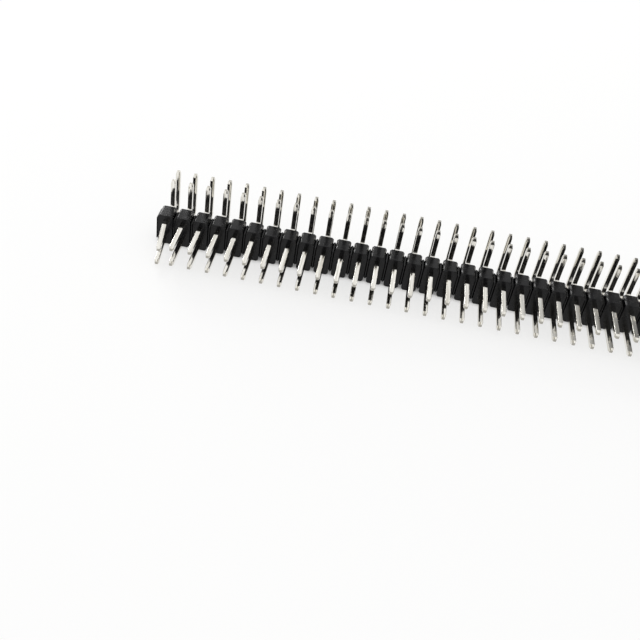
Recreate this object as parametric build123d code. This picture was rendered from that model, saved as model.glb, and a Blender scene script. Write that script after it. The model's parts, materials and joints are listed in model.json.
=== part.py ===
from build123d import *
import math
import os

# Double-row right-angle pin header strip, standing on the long face of its housing.
# X runs along the strip, the mating posts point to -Y and the soldering tails stand up along +Z.
# The origin is the middle of the overall box, on the plane that the housing stands on.

# Pin grid, in millimetres
positions = 40
pitch = 2.54
row_spacing = 2.54

# Moulded housing
housing_depth = 2.5
housing_height = 4.8

# Snap-off notch between two positions, cut into the standing face and into the board face
notch_slot_width = 0.48
notch_lead_in = 0.24
notch_depth = 0.75

# Web that is left between two positions, with a raised band that runs round it at the break line
web_thickness = 0.42
band_width = 0.15
band_depth = 0.1
band_height = 0.1
groove_depth = 0.3

# Square pins
pin_side = 0.64
mating_length = 6.0
tail_offset = 1.5
tail_length = 3.5
short_bend_radius = 0.45
long_bend_radius = 1.1
tip_side = 0.42
tip_length = 0.4

# Flats that each bend is drawn with, which keeps the many pins light
bend_flats = 6

# How far a cutting shape runs past the face that it cuts
cut_overrun = 1.0

# Places along Y, from the mating tips back to the outer row of tails
rows = 2
strip_length = positions * pitch
overall_depth = mating_length + housing_depth + tail_offset + row_spacing + pin_side / 2
mating_tip_y = -overall_depth / 2
front_face_y = mating_tip_y + mating_length
housing_centre_y = front_face_y + housing_depth / 2
rear_face_y = front_face_y + housing_depth
near_tail_y = rear_face_y + tail_offset
far_tail_y = near_tail_y + row_spacing

# Places along Z
housing_centre_z = housing_height / 2
upper_row_z = housing_centre_z + row_spacing / 2
lower_row_z = housing_centre_z - row_spacing / 2
tail_tip_z = housing_height + tail_length

tip_chamfer = (pin_side - tip_side) / 2


def notch_outline():
    """Front view of a notch: chamfered mouth, steep sides and the web's raised band on the floor."""
    half_slot = notch_slot_width / 2
    half_mouth = half_slot + notch_lead_in
    half_floor = web_thickness / 2
    half_band = band_width / 2
    return Polygon(
        (half_mouth, cut_overrun),
        (-half_mouth, cut_overrun),
        (-half_mouth, 0),
        (-half_slot, -notch_lead_in),
        (-half_floor, -notch_depth),
        (-half_band, band_height - notch_depth),
        (half_band, band_height - notch_depth),
        (half_floor, -notch_depth),
        (half_slot, -notch_lead_in),
        (half_mouth, 0),
        align=None,
    )


def groove_outline():
    """Plan view of a groove: deepest beside the positions, with the web's raised band between."""
    half_width = web_thickness / 2
    half_band = band_width / 2
    return Polygon(
        (-half_width, -cut_overrun),
        (half_width, -cut_overrun),
        (half_width, groove_depth),
        (half_band, band_depth),
        (-half_band, band_depth),
        (-half_width, groove_depth),
        align=None,
    )


def make_housing():
    """Moulded bar with a notch and a groove at each break line and a square hole for each pin."""
    front_view = Plane(origin=(0, rear_face_y, housing_centre_z), x_dir=(1, 0, 0), z_dir=(0, -1, 0))
    break_lines = GridLocations(pitch, 0, positions + 1, 1)
    pin_places = GridLocations(pitch, row_spacing, positions, rows)

    notches = Sketch() + [place * notch_outline() for place in break_lines]
    grooves = Sketch() + [place * groove_outline() for place in break_lines]
    holes = Sketch() + [place * Rectangle(pin_side, pin_side) for place in pin_places]

    bar = Pos(0, housing_centre_y, housing_centre_z) * Box(strip_length, housing_depth, housing_height)
    board_notches = extrude(front_view * Pos(0, housing_height / 2) * notches, housing_depth)
    standing_notches = board_notches.mirror(Plane.XY.offset(housing_centre_z))
    mating_grooves = extrude(Pos(0, front_face_y) * grooves, housing_height)
    tail_grooves = mating_grooves.mirror(Plane.XZ.offset(-housing_centre_y))
    pin_holes = extrude(front_view * holes, housing_depth)
    return bar - [board_notches, standing_notches, mating_grooves, tail_grooves, pin_holes]


def bend_points(row_z, tail_y, bend_radius):
    """Middle line of a pin's quarter bend, from the post's level round to the tail's place."""
    turn_radius = bend_radius + pin_side / 2
    turns = [math.radians(90) * step / bend_flats for step in range(bend_flats + 1)]
    return [
        (tail_y - turn_radius * (1 - math.sin(turn)), row_z + turn_radius * (1 - math.cos(turn)))
        for turn in turns
    ]


def make_pin(row_z, tail_y, bend_radius):
    """Square pin with a mating post, a right-angle bend and a soldering tail, both ends chamfered."""
    route = Plane.YZ * Polyline(
        (mating_tip_y, row_z),
        *bend_points(row_z, tail_y, bend_radius),
        (tail_y, tail_tip_z),
    )
    section = Plane(origin=(0, mating_tip_y, row_z), z_dir=(0, 1, 0)) * Rectangle(pin_side, pin_side)
    pin = sweep(section, path=route, transition=Transition.RIGHT)
    for axis, end in ((Axis.Y, 0), (Axis.Z, -1)):
        end_face = pin.faces().sort_by(axis)[end]
        pin = chamfer(end_face.edges(), tip_chamfer, tip_length, reference=end_face)
    return pin


def write_parts():
    """One file for the housing, and one for the two pins of each position."""
    os.makedirs("parts", exist_ok=True)
    export_step(make_housing(), "parts/housing.step")
    short_pin = make_pin(upper_row_z, near_tail_y, short_bend_radius)
    long_pin = make_pin(lower_row_z, far_tail_y, long_bend_radius)
    for number, place in enumerate(GridLocations(pitch, 0, positions, 1), start=1):
        pair = Compound([place * short_pin.solid(), place * long_pin.solid()])
        export_step(pair, f"parts/pin_pair_{number:02d}.step")


write_parts()
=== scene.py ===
import json
import math

import bmesh
import bpy
from mathutils import Euler, Matrix, Vector


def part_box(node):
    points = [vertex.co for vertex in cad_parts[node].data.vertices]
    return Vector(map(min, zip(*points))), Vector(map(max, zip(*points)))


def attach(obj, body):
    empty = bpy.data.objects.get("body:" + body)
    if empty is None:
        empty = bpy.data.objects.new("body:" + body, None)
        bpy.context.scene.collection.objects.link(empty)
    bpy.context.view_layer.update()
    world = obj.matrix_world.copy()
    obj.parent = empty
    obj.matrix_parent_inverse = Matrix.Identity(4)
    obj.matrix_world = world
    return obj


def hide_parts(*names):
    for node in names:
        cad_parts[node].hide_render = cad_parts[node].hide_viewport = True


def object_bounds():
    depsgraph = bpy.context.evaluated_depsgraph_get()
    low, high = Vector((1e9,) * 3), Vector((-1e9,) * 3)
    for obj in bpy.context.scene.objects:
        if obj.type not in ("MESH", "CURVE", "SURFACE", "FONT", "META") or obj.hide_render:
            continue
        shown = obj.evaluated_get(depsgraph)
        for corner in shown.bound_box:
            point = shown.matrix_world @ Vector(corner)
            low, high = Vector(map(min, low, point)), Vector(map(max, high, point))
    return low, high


# Double-row right-angle pin header strip: a moulded black housing with bent, tin-plated square pins.
# X runs along the strip, the mating posts point to -Y and the soldering tails stand up along +Z.

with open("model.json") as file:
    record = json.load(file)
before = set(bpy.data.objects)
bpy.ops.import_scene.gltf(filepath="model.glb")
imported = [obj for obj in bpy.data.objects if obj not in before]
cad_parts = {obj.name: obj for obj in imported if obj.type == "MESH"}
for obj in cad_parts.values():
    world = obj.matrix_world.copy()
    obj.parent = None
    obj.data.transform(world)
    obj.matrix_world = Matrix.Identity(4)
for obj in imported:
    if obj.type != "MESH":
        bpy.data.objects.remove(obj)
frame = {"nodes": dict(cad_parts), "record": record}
cad_low, cad_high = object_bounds()

mm = 0.001

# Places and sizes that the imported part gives
housing_low, housing_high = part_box("housing")
pin_nodes = sorted(node for node in frame["nodes"] if node.startswith("pin_pair"))
first_pins_low, first_pins_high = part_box(pin_nodes[0])
second_pins_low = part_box(pin_nodes[1])[0]
mount_sizes = {mount["name"]: mount["dims"] for mount in frame["record"]["mounts"]}

housing_depth = housing_high.y - housing_low.y
housing_height = housing_high.z - housing_low.z
pitch = second_pins_low.x - first_pins_low.x
row_spacing = mount_sizes["mating_posts"]["spacing_y_mm"] * mm
pin_side = first_pins_high.x - first_pins_low.x
first_column_x = (first_pins_low.x + first_pins_high.x) / 2
lower_row_z = first_pins_low.z + pin_side / 2
upper_row_z = lower_row_z + row_spacing
far_tail_y = first_pins_high.y - pin_side / 2
near_tail_y = far_tail_y - row_spacing
mating_tip_y = first_pins_low.y
tail_tip_z = first_pins_high.z

# Moulded housing
notch_slot_width = 0.48 * mm
notch_lead_in = 0.24 * mm
notch_depth = 0.75 * mm
web_thickness = 0.42 * mm
band_width = 0.15 * mm
band_depth = 0.1 * mm
band_height = 0.1 * mm
groove_depth = 0.3 * mm
pin_hole_gap = 0.005 * mm
housing_edge_radius = 0.05 * mm
housing_edge_segments = 2

# Square pins
short_bend_radius = 0.45 * mm
long_bend_radius = 1.1 * mm
bend_steps = 10
tip_side = 0.42 * mm
tip_length = 0.4 * mm
wire_corner_radius = 0.05 * mm
wire_corner_segments = 2
# Place of the sheared ends' material among the two that a pin has
sheared_end_slot = 1

# The first position's posts are bent out of line at the housing, downwards and along the strip
upper_post_bend = Euler((math.radians(4.8), 0, math.radians(7.2)))
lower_post_bend = Euler((math.radians(2.0), 0, math.radians(5.0)))
no_bend = Euler((0, 0, 0))

# Patterns of the finishes
plastic_cloud_size = 1.6 * mm
# The real grain is about 0.03 mm, drawn ten times as coarse so that it shows
plastic_grain_size = 0.3 * mm
plastic_grain_height = 0.02 * mm
# Die lines are about 0.02 mm apart, drawn twelve times as coarse so that they show
die_line_spacing = 0.24 * mm
die_line_length = 6 * mm
die_line_height = 0.02 * mm

# Tolerances and turns for the modelling
weld_distance = 0.001 * mm
flat_angle = math.radians(1)
sharp_edge_angle = math.radians(30)
flat_face_weight = 100
stood_upright = Matrix.Rotation(math.radians(90), 4, "X")

# Camera, aimed at a point under the strip's front face, with the small shift of a cropped picture
camera_lens = 49.66
camera_sensor = 36.0
camera_shift_x = 0.025
camera_shift_y = -0.047
camera_distance = 128.47 * mm
camera_elevation = math.radians(38.78)
camera_heading = math.radians(-3.74)
camera_roll = math.radians(8.82)
camera_near_limit = 1 * mm
camera_aim_along = 20.94 * mm
camera_aim_height = -3.52 * mm
camera_aim = Vector((first_column_x + camera_aim_along, housing_low.y, camera_aim_height))

# Studio, in metres
floor_radius = 3.0
floor_corners = 64
floor_glow_share = 0.66
floor_shade_reach = 0.07
floor_white_reach = 0.2
fill_strength = 0.9
softbox_place = Vector((-0.35, 0.5, 0.16))
softbox_size = 0.3
softbox_radiance = 8.0

# Cards that the strip mirrors: low in front of its right half, behind it, and on the camera's side
dark_card_place = Vector((0.11, -0.08, 0.025))
dark_card_width = 0.3
dark_card_height = 0.05
backdrop_card_place = Vector((0.3, 0.6, 0.5))
backdrop_card_width = 2.0
backdrop_card_height = 1.0
backdrop_fade_start = 0.06
backdrop_fade_end = 0.29
backdrop_dim_strength = 0.22
camera_side_card_place = Vector((-0.05, -0.5, 0.38))
camera_side_card_width = 0.5
camera_side_card_height = 0.28


def linear(hex_colour):
    """Linear RGBA of an sRGB colour such as "#1b1b1d"."""
    parts = [int(hex_colour[place:place + 2], 16) / 255 for place in (1, 3, 5)]
    return [c / 12.92 if c <= 0.04045 else ((c + 0.055) / 1.055) ** 2.4 for c in parts] + [1]


def add_node(tree, kind, inputs=None, **settings):
    """Adds a node with its settings, and with a value or a link for each named input."""
    node = tree.nodes.new(kind)
    for name, value in settings.items():
        setattr(node, name, value)
    for name, value in (inputs or {}).items():
        if isinstance(value, bpy.types.NodeSocket):
            tree.links.new(value, node.inputs[name])
        else:
            node.inputs[name].default_value = value
    return node


def new_material(name):
    """Empty node material, with its tree and its output node."""
    material = bpy.data.materials.new(name)
    material.use_nodes = True
    tree = material.node_tree
    tree.nodes.clear()
    return material, tree, add_node(tree, "ShaderNodeOutputMaterial")


def black_pbt():
    """Glass-filled PBT, injection moulded in a finely eroded steel mould.

    Charcoal black with a satin skin: a soft sheen on flat faces, a faint cloudiness where the fibres
    come near the surface, and a grain that only breaks up the reflections.
    """
    material, tree, output = new_material("black_glass_filled_pbt")
    places = add_node(tree, "ShaderNodeTexCoord").outputs["Object"]
    cloud = add_node(tree, "ShaderNodeTexNoise",
                     {"Vector": places, "Scale": 1 / plastic_cloud_size, "Detail": 3.0, "Roughness": 0.55})
    grain = add_node(tree, "ShaderNodeTexNoise",
                     {"Vector": places, "Scale": 1 / plastic_grain_size, "Detail": 3.0, "Roughness": 0.65})
    colour = add_node(tree, "ShaderNodeMix",
                      {"Factor": cloud.outputs["Fac"], "A": linear("#0c0c0d"), "B": linear("#141416")},
                      data_type="RGBA")
    satin = add_node(tree, "ShaderNodeMapRange",
                     {"Value": cloud.outputs["Fac"], "From Min": 0.3, "From Max": 0.7,
                      "To Min": 0.18, "To Max": 0.3})
    skin = add_node(tree, "ShaderNodeBump",
                    {"Height": grain.outputs["Fac"], "Strength": 0.5, "Distance": plastic_grain_height})
    surface = add_node(tree, "ShaderNodeBsdfPrincipled",
                       {"Base Color": colour.outputs["Result"], "Roughness": satin.outputs["Result"],
                        "Normal": skin.outputs["Normal"], "IOR": 1.5, "Specular IOR Level": 0.25})
    tree.links.new(surface.outputs["BSDF"], output.inputs["Surface"])
    return material


def tin_plated_brass():
    """Square brass wire, drawn through a die and plated with bright tin.

    Warm silver that mirrors what is round it, with fine lines along the wire that the die left, where
    the plating is a little duller.
    """
    material, tree, output = new_material("tin_plated_brass_wire")
    along_wire = add_node(tree, "ShaderNodeAttribute", attribute_name="straight_wire").outputs["Vector"]
    lines_scale = (1 / die_line_spacing, 1 / die_line_length, 1 / die_line_spacing)
    lines_place = add_node(tree, "ShaderNodeMapping", {"Vector": along_wire, "Scale": lines_scale})
    lines = add_node(tree, "ShaderNodeTexNoise",
                     {"Vector": lines_place.outputs["Vector"], "Scale": 1.0, "Detail": 2.0})
    dull_share = add_node(tree, "ShaderNodeMapRange",
                          {"Value": lines.outputs["Fac"], "From Min": 0.35, "From Max": 0.7})
    colour = add_node(tree, "ShaderNodeMix",
                      {"Factor": dull_share.outputs["Result"],
                       "A": linear("#f3f1eb"), "B": linear("#d2cec4")},
                      data_type="RGBA")
    dullness = add_node(tree, "ShaderNodeMapRange",
                        {"Value": dull_share.outputs["Result"], "To Min": 0.06, "To Max": 0.12})
    drawn = add_node(tree, "ShaderNodeBump",
                     {"Height": lines.outputs["Fac"], "Strength": 0.3, "Distance": die_line_height})
    surface = add_node(tree, "ShaderNodeBsdfPrincipled",
                       {"Base Color": colour.outputs["Result"], "Metallic": 1.0,
                        "Roughness": dullness.outputs["Result"], "Normal": drawn.outputs["Normal"]})
    tree.links.new(surface.outputs["BSDF"], output.inputs["Surface"])
    return material


def sheared_brass():
    """End of the wire, where the shears cut through the plating and smeared it over the brass.

    Pale and dull, so that the ends look softer than the plating round them.
    """
    material, tree, output = new_material("sheared_brass_end")
    surface = add_node(tree, "ShaderNodeBsdfPrincipled",
                       {"Base Color": linear("#aeaba3"), "Metallic": 1.0, "Roughness": 0.3})
    tree.links.new(surface.outputs["BSDF"], output.inputs["Surface"])
    return material


def seen_directly(tree):
    """Socket that is 1 for rays from the camera, a reflection or glass, and 0 for soft bounced light."""
    path = add_node(tree, "ShaderNodeLightPath")
    mirrored = add_node(tree, "ShaderNodeMath", operation="MAXIMUM")
    tree.links.new(path.outputs["Is Glossy Ray"], mirrored.inputs[0])
    tree.links.new(path.outputs["Is Transmission Ray"], mirrored.inputs[1])
    seen = add_node(tree, "ShaderNodeMath", operation="MAXIMUM")
    tree.links.new(path.outputs["Is Camera Ray"], seen.inputs[0])
    tree.links.new(mirrored.outputs["Value"], seen.inputs[1])
    return seen.outputs["Value"]


def white_paper():
    """Matt white card, which stays white to the eye and takes a soft shadow."""
    material, tree, output = new_material("matt_white_card")
    card = add_node(tree, "ShaderNodeBsdfDiffuse", {"Color": linear("#f7f7f6")})
    white = add_node(tree, "ShaderNodeEmission", {"Color": linear("#ffffff"), "Strength": 1.0})
    # Only the middle shades with the light, and the far floor blends into the white surroundings
    places = add_node(tree, "ShaderNodeTexCoord").outputs["Object"]
    away = add_node(tree, "ShaderNodeVectorMath", {"Vector": places}, operation="LENGTH")
    glow = add_node(tree, "ShaderNodeMapRange",
                    {"Value": away.outputs["Value"],
                     "From Min": floor_shade_reach, "From Max": floor_white_reach,
                     "To Min": floor_glow_share, "To Max": 1.0},
                    interpolation_type="SMOOTHSTEP")
    share = add_node(tree, "ShaderNodeMath", operation="MULTIPLY")
    tree.links.new(seen_directly(tree), share.inputs[0])
    tree.links.new(glow.outputs["Result"], share.inputs[1])
    # The white fades in gaps about as narrow as a snap-off notch, where little light comes in
    openness = add_node(tree, "ShaderNodeAmbientOcclusion", {"Distance": notch_depth})
    open_share = add_node(tree, "ShaderNodeMath", operation="MULTIPLY")
    tree.links.new(share.outputs["Value"], open_share.inputs[0])
    tree.links.new(openness.outputs["AO"], open_share.inputs[1])
    mixed = add_node(tree, "ShaderNodeMixShader", {"Fac": open_share.outputs["Value"]})
    tree.links.new(card.outputs["BSDF"], mixed.inputs[1])
    tree.links.new(white.outputs["Emission"], mixed.inputs[2])
    tree.links.new(mixed.outputs["Shader"], output.inputs["Surface"])
    return material


def finished_object(bm, name, *materials):
    """Object with the mesh's place kept, smooth over its rounded edges and flat between them."""
    bmesh.ops.recalc_face_normals(bm, faces=bm.faces)
    mesh = bpy.data.meshes.new(name)
    bm.to_mesh(mesh)
    bm.free()
    for material in materials:
        mesh.materials.append(material)
    mesh.shade_smooth()
    piece = bpy.data.objects.new(name, mesh)
    bpy.context.collection.objects.link(piece)
    return piece


def flat_between_edges(piece):
    """Keeps large faces flat while the small rounding faces beside them stay smooth."""
    normals = piece.modifiers.new("flat_faces", "WEIGHTED_NORMAL")
    normals.mode = "FACE_AREA"
    normals.weight = flat_face_weight
    normals.keep_sharp = True


def faces_with_rims(faces):
    """The faces with their edges and corners, as a cut wants them."""
    edges = {edge for face in faces for edge in face.edges}
    corners = {corner for face in faces for corner in face.verts}
    return list(faces) + list(edges) + list(corners)


def cut(bm, faces, point, normal):
    """Splits faces where a plane crosses them."""
    bmesh.ops.bisect_plane(bm, geom=faces_with_rims(faces), dist=weld_distance,
                           plane_co=point, plane_no=normal)


def facing(bm, normal):
    """Faces that look straight along a direction."""
    return [face for face in bm.faces if face.normal.angle(Vector(normal)) < flat_angle]


def add_position_block(bm):
    """One position: a block narrowed by the notches at its top and bottom, with edges slightly round."""
    width = pitch - web_thickness
    centre = (housing_low + housing_high) / 2
    centre.x = first_column_x
    bmesh.ops.create_cube(bm, size=1)
    bmesh.ops.scale(bm, vec=(width, housing_depth, housing_height), verts=bm.verts)
    bmesh.ops.translate(bm, vec=centre, verts=bm.verts)
    bm.normal_update()
    for depth in (notch_depth, notch_lead_in):
        for height in (housing_low.z + depth, housing_high.z - depth):
            cut(bm, bm.faces, (0, 0, height), (0, 0, 1))
    for depth, gap in ((notch_lead_in, notch_slot_width), (0, notch_slot_width + 2 * notch_lead_in)):
        level = [corner for corner in bm.verts
                 if abs(abs(corner.co.z - centre.z) - housing_height / 2 + depth) < weld_distance]
        bmesh.ops.scale(bm, vec=((pitch - gap) / width, 1, 1), space=Matrix.Translation(-centre),
                        verts=level)
    bmesh.ops.dissolve_limit(bm, angle_limit=flat_angle, verts=bm.verts, edges=bm.edges)
    outer_edges = [edge for edge in bm.edges if edge.calc_face_angle() > sharp_edge_angle]
    bmesh.ops.bevel(bm, geom=outer_edges, affect="EDGES", offset=housing_edge_radius,
                    segments=housing_edge_segments, profile=0.5, material=-1, clamp_overlap=True)
    bm.normal_update()
    return centre


def add_webs(bm, centre):
    """Half of a web on each side, with its raised band, left open at the break line."""
    root_depth = housing_depth - 2 * groove_depth
    root_height = housing_height - 2 * notch_depth
    band_growth = Vector((1, (housing_depth - 2 * band_depth) / root_depth,
                          (root_height + 2 * band_height) / root_height))
    web_steps = (((web_thickness - band_width) / 2, band_growth), (band_width / 2, (1, 1, 1)))
    for side in (Vector((1, 0, 0)), Vector((-1, 0, 0))):
        for place in (housing_low.y + groove_depth, housing_high.y - groove_depth):
            cut(bm, facing(bm, side), (0, place, 0), (0, 1, 0))
        bm.normal_update()
        face = next(root for root in facing(bm, side)
                    if abs(root.calc_center_median().y - centre.y) < weld_distance)
        for reach, growth in web_steps:
            face = bmesh.ops.extrude_discrete_faces(bm, faces=[face])["faces"][0]
            bmesh.ops.translate(bm, vec=side * reach, verts=face.verts)
            bmesh.ops.scale(bm, vec=growth, space=Matrix.Translation(-centre), verts=face.verts)
        bmesh.ops.delete(bm, geom=[face], context="FACES_ONLY")
    bm.normal_update()


def add_pin_holes(bm, centre):
    """Square holes through the position, one for each row."""
    half_hole = pin_side / 2 + pin_hole_gap
    for side in ((0, -1, 0), (0, 1, 0)):
        for offset in (-half_hole, half_hole):
            cut(bm, facing(bm, side), (centre.x + offset, 0, 0), (1, 0, 0))
        for row_z in (lower_row_z, upper_row_z):
            for offset in (-half_hole, half_hole):
                cut(bm, facing(bm, side), (0, 0, row_z + offset), (0, 0, 1))
    bm.normal_update()
    for row_z in (lower_row_z, upper_row_z):
        row = Vector((centre.x, 0, row_z))
        mouths = []
        for face in facing(bm, (0, -1, 0)) + facing(bm, (0, 1, 0)):
            away = face.calc_center_median() - row
            if max(abs(away.x), abs(away.z)) < weld_distance:
                mouths.append(face)
        rims = [edge for face in mouths for edge in face.edges]
        bmesh.ops.delete(bm, geom=mouths, context="FACES_ONLY")
        bmesh.ops.bridge_loops(bm, edges=rims)


def make_housing(material):
    """Whole housing: one position repeated along the strip and joined at the webs."""
    bm = bmesh.new()
    centre = add_position_block(bm)
    add_webs(bm, centre)
    add_pin_holes(bm, centre)
    position = bm.verts[:] + bm.edges[:] + bm.faces[:]
    for number in range(1, len(pin_nodes)):
        copy = bmesh.ops.duplicate(bm, geom=position)["geom"]
        corners = [part for part in copy if isinstance(part, bmesh.types.BMVert)]
        bmesh.ops.translate(bm, vec=(number * pitch, 0, 0), verts=corners)
    bmesh.ops.remove_doubles(bm, verts=bm.verts, dist=weld_distance)
    bmesh.ops.holes_fill(bm, edges=[edge for edge in bm.edges if edge.is_boundary], sides=0)
    for edge in bm.edges:
        edge.smooth = edge.calc_face_angle() < sharp_edge_angle
    piece = finished_object(bm, "moulded_housing", material)
    flat_between_edges(piece)
    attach(piece, "root")
    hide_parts("housing")


def about(point, matrix):
    """The same turn or growth, made about a point."""
    return Matrix.Translation(point) @ matrix @ Matrix.Translation(-point)


def wire_end(bm, straight_wire, start):
    """Rounded square across the wire at its start, which also notes its place on the straight wire."""
    square = bmesh.ops.create_grid(bm, x_segments=1, y_segments=1, size=pin_side / 2,
                                   matrix=stood_upright)["verts"]
    bmesh.ops.translate(bm, vec=start, verts=square)
    rounded = bmesh.ops.bevel(bm, geom=square, affect="VERTICES", offset=wire_corner_radius,
                              segments=wire_corner_segments, profile=0.5, material=-1)
    for corner in rounded["verts"]:
        corner[straight_wire] = corner.co
    return rounded["verts"][0].link_faces[0]


def carried_on(bm, straight_wire, face, travel, move):
    """Carries the wire's end face on by a move, and its place on the straight wire by the travel."""
    end = bmesh.ops.extrude_discrete_faces(bm, faces=[face])["faces"][0]
    bmesh.ops.transform(bm, matrix=move, verts=end.verts)
    for corner in end.verts:
        corner[straight_wire] = corner[straight_wire] + Vector((0, travel, 0))
    return end


def keep_edges_sharp(face):
    """Marks the rim of a face as an edge that stays sharp."""
    for edge in face.edges:
        edge.smooth = False


def add_pin(bm, straight_wire, column_x, row_z, tail_y, bend_radius, post_bend):
    """One bent pin: mating tip, post, quarter bend, tail and tail tip."""
    tip_share = tip_side / pin_side
    turn_radius = bend_radius + pin_side / 2
    turn_step = math.radians(90) / bend_steps
    bend_centre = Vector((column_x, tail_y - turn_radius, row_z + turn_radius))
    post_length = housing_low.y - mating_tip_y - tip_length
    hidden_length = bend_centre.y - housing_low.y
    tail_length = tail_tip_z - bend_centre.z - tip_length
    start = Vector((column_x, mating_tip_y, row_z))
    post_root = Vector((column_x, housing_low.y, row_z))
    tail_end = Vector((column_x, tail_y, tail_tip_z - tip_length))

    face = wire_end(bm, straight_wire, start)
    keep_edges_sharp(face)
    bmesh.ops.transform(bm, matrix=about(start, Matrix.Scale(tip_share, 4)), verts=face.verts)
    post_corners = face.verts[:]
    grown = Matrix.Translation((0, tip_length, 0)) @ about(start, Matrix.Scale(1 / tip_share, 4))
    face = carried_on(bm, straight_wire, face, tip_length, grown)
    keep_edges_sharp(face)
    post_corners += face.verts[:]
    for length in (post_length, hidden_length):
        face = carried_on(bm, straight_wire, face, length, Matrix.Translation((0, length, 0)))
    turned = about(bend_centre, Matrix.Rotation(turn_step, 4, "X"))
    for step in range(bend_steps):
        face = carried_on(bm, straight_wire, face, turn_radius * turn_step, turned)
    face = carried_on(bm, straight_wire, face, tail_length, Matrix.Translation((0, 0, tail_length)))
    keep_edges_sharp(face)
    shrunk = Matrix.Translation((0, 0, tip_length)) @ about(tail_end, Matrix.Scale(tip_share, 4))
    face = carried_on(bm, straight_wire, face, tip_length, shrunk)
    keep_edges_sharp(face)
    face.material_index = sheared_end_slot
    bmesh.ops.rotate(bm, cent=post_root, matrix=post_bend.to_matrix(), verts=post_corners)


def make_pin_pair(node, plating, bare_end, upper_bend, lower_bend):
    """The short and the long pin of one position."""
    low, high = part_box(node)
    column_x = (low.x + high.x) / 2
    bm = bmesh.new()
    straight_wire = bm.verts.layers.float_vector.new("straight_wire")
    add_pin(bm, straight_wire, column_x, upper_row_z, near_tail_y, short_bend_radius, upper_bend)
    add_pin(bm, straight_wire, column_x, lower_row_z, far_tail_y, long_bend_radius, lower_bend)
    starts = bmesh.ops.holes_fill(bm, edges=[edge for edge in bm.edges if edge.is_boundary], sides=0)
    for face in starts["faces"]:
        face.material_index = sheared_end_slot
    piece = finished_object(bm, node.replace("pin_pair", "plated_pins"), plating, bare_end)
    flat_between_edges(piece)
    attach(piece, "root")
    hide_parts(node)


def add_camera():
    """Camera at the photograph's place, with everything in focus."""
    data = bpy.data.cameras.new("camera")
    data.sensor_width = camera_sensor
    data.lens = camera_lens
    data.shift_x = camera_shift_x
    data.shift_y = camera_shift_y
    data.clip_start = camera_near_limit
    forward = Vector((
        math.sin(camera_heading) * math.cos(camera_elevation),
        math.cos(camera_heading) * math.cos(camera_elevation),
        -math.sin(camera_elevation),
    ))
    level_right = forward.cross(Vector((0, 0, 1))).normalized()
    level_up = level_right.cross(forward)
    right = level_right * math.cos(camera_roll) + level_up * math.sin(camera_roll)
    up = level_up * math.cos(camera_roll) - level_right * math.sin(camera_roll)
    place = Matrix((right, up, -forward)).transposed().to_4x4()
    place.translation = camera_aim - forward * camera_distance
    camera = bpy.data.objects.new("camera", data)
    camera.matrix_world = place
    bpy.context.collection.objects.link(camera)
    bpy.context.scene.camera = camera


def add_softbox(name, place, size, radiance):
    """Square lamp that faces the strip's middle, with its power worked out from how bright it looks."""
    data = bpy.data.lights.new(name, "AREA")
    data.size = size
    data.energy = radiance * math.pi * size ** 2
    lamp = bpy.data.objects.new(name, data)
    lamp.location = place
    lamp.visible_camera = False
    lamp.rotation_euler = (-place).to_track_quat("-Z", "Y").to_euler()
    bpy.context.collection.objects.link(lamp)


def dark_board():
    """Dark grey card, whose reflection darkens the pin tips and the corners above the posts."""
    material, tree, output = new_material("dark_grey_card")
    grey = add_node(tree, "ShaderNodeBsdfDiffuse", {"Color": linear("#3c3c3c")})
    tree.links.new(grey.outputs["BSDF"], output.inputs["Surface"])
    return material


def graded_board():
    """Backdrop card that is white at the left and fades to grey, as a room away from its window does."""
    material, tree, output = new_material("graded_grey_card")
    places = add_node(tree, "ShaderNodeTexCoord").outputs["Object"]
    sideways = add_node(tree, "ShaderNodeSeparateXYZ", {"Vector": places}).outputs["X"]
    fading = add_node(tree, "ShaderNodeMapRange",
                      {"Value": sideways, "From Min": backdrop_fade_start, "From Max": backdrop_fade_end,
                       "To Min": 1.0, "To Max": backdrop_dim_strength},
                      interpolation_type="SMOOTHSTEP")
    grey = add_node(tree, "ShaderNodeEmission",
                    {"Color": linear("#ffffff"), "Strength": fading.outputs["Result"]})
    tree.links.new(grey.outputs["Emission"], output.inputs["Surface"])
    return material


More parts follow.
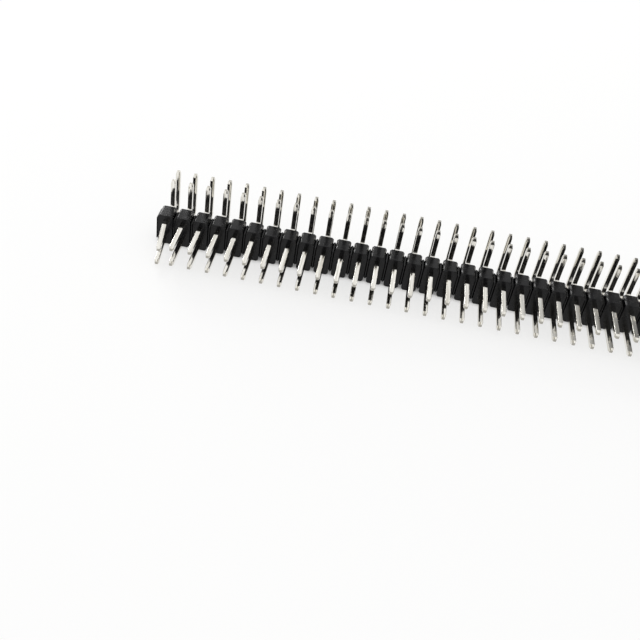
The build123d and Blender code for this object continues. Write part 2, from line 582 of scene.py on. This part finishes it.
def add_card(name, centre, width, height, material):
    """Card that stands beside the strip and is seen only in reflections."""
    bm = bmesh.new()
    bmesh.ops.create_grid(bm, x_segments=1, y_segments=1, size=0.5, matrix=stood_upright)
    bmesh.ops.scale(bm, vec=(width, 1, height), verts=bm.verts)
    bmesh.ops.translate(bm, vec=centre, verts=bm.verts)
    card = finished_object(bm, name, material)
    card.visible_camera = False
    card.visible_diffuse = False
    card.visible_shadow = False


def add_floor():
    """Round white floor at the level that the strip stands on."""
    bm = bmesh.new()
    bmesh.ops.create_circle(bm, cap_ends=True, segments=floor_corners, radius=floor_radius,
                            matrix=Matrix.Translation((0, 0, cad_low.z)))
    floor = finished_object(bm, "floor", white_paper())


def add_surroundings():
    """White all round, which lights the strip a little less than it shows."""
    world = bpy.data.worlds.new("white_studio")
    world.use_nodes = True
    tree = world.node_tree
    tree.nodes.clear()
    fill = add_node(tree, "ShaderNodeBackground", {"Color": linear("#ffffff"), "Strength": fill_strength})
    white = add_node(tree, "ShaderNodeBackground", {"Color": linear("#ffffff"), "Strength": 1.0})
    mixed = add_node(tree, "ShaderNodeMixShader", {"Fac": seen_directly(tree)})
    tree.links.new(fill.outputs["Background"], mixed.inputs[1])
    tree.links.new(white.outputs["Background"], mixed.inputs[2])
    output = add_node(tree, "ShaderNodeOutputWorld")
    tree.links.new(mixed.outputs["Shader"], output.inputs["Surface"])
    bpy.context.scene.world = world


def add_studio():
    """White floor and surroundings, a soft lamp at the back left, and the cards that the strip mirrors."""
    add_floor()
    add_surroundings()
    add_softbox("left_softbox", softbox_place, softbox_size, softbox_radiance)
    dark_grey = dark_board()
    add_card("dark_card", dark_card_place, dark_card_width, dark_card_height, dark_grey)
    add_card("backdrop_card", backdrop_card_place, backdrop_card_width, backdrop_card_height,
             graded_board())
    add_card("camera_side_card", camera_side_card_place, camera_side_card_width, camera_side_card_height,
             dark_grey)


plastic = black_pbt()
tin_plating = tin_plated_brass()
wire_ends = sheared_brass()
make_housing(plastic)
make_pin_pair(pin_nodes[0], tin_plating, wire_ends, upper_post_bend, lower_post_bend)
for pin_node in pin_nodes[1:]:
    make_pin_pair(pin_node, tin_plating, wire_ends, no_bend, no_bend)
add_studio()
add_camera()

bpy.context.scene.view_settings.view_transform = "Standard"
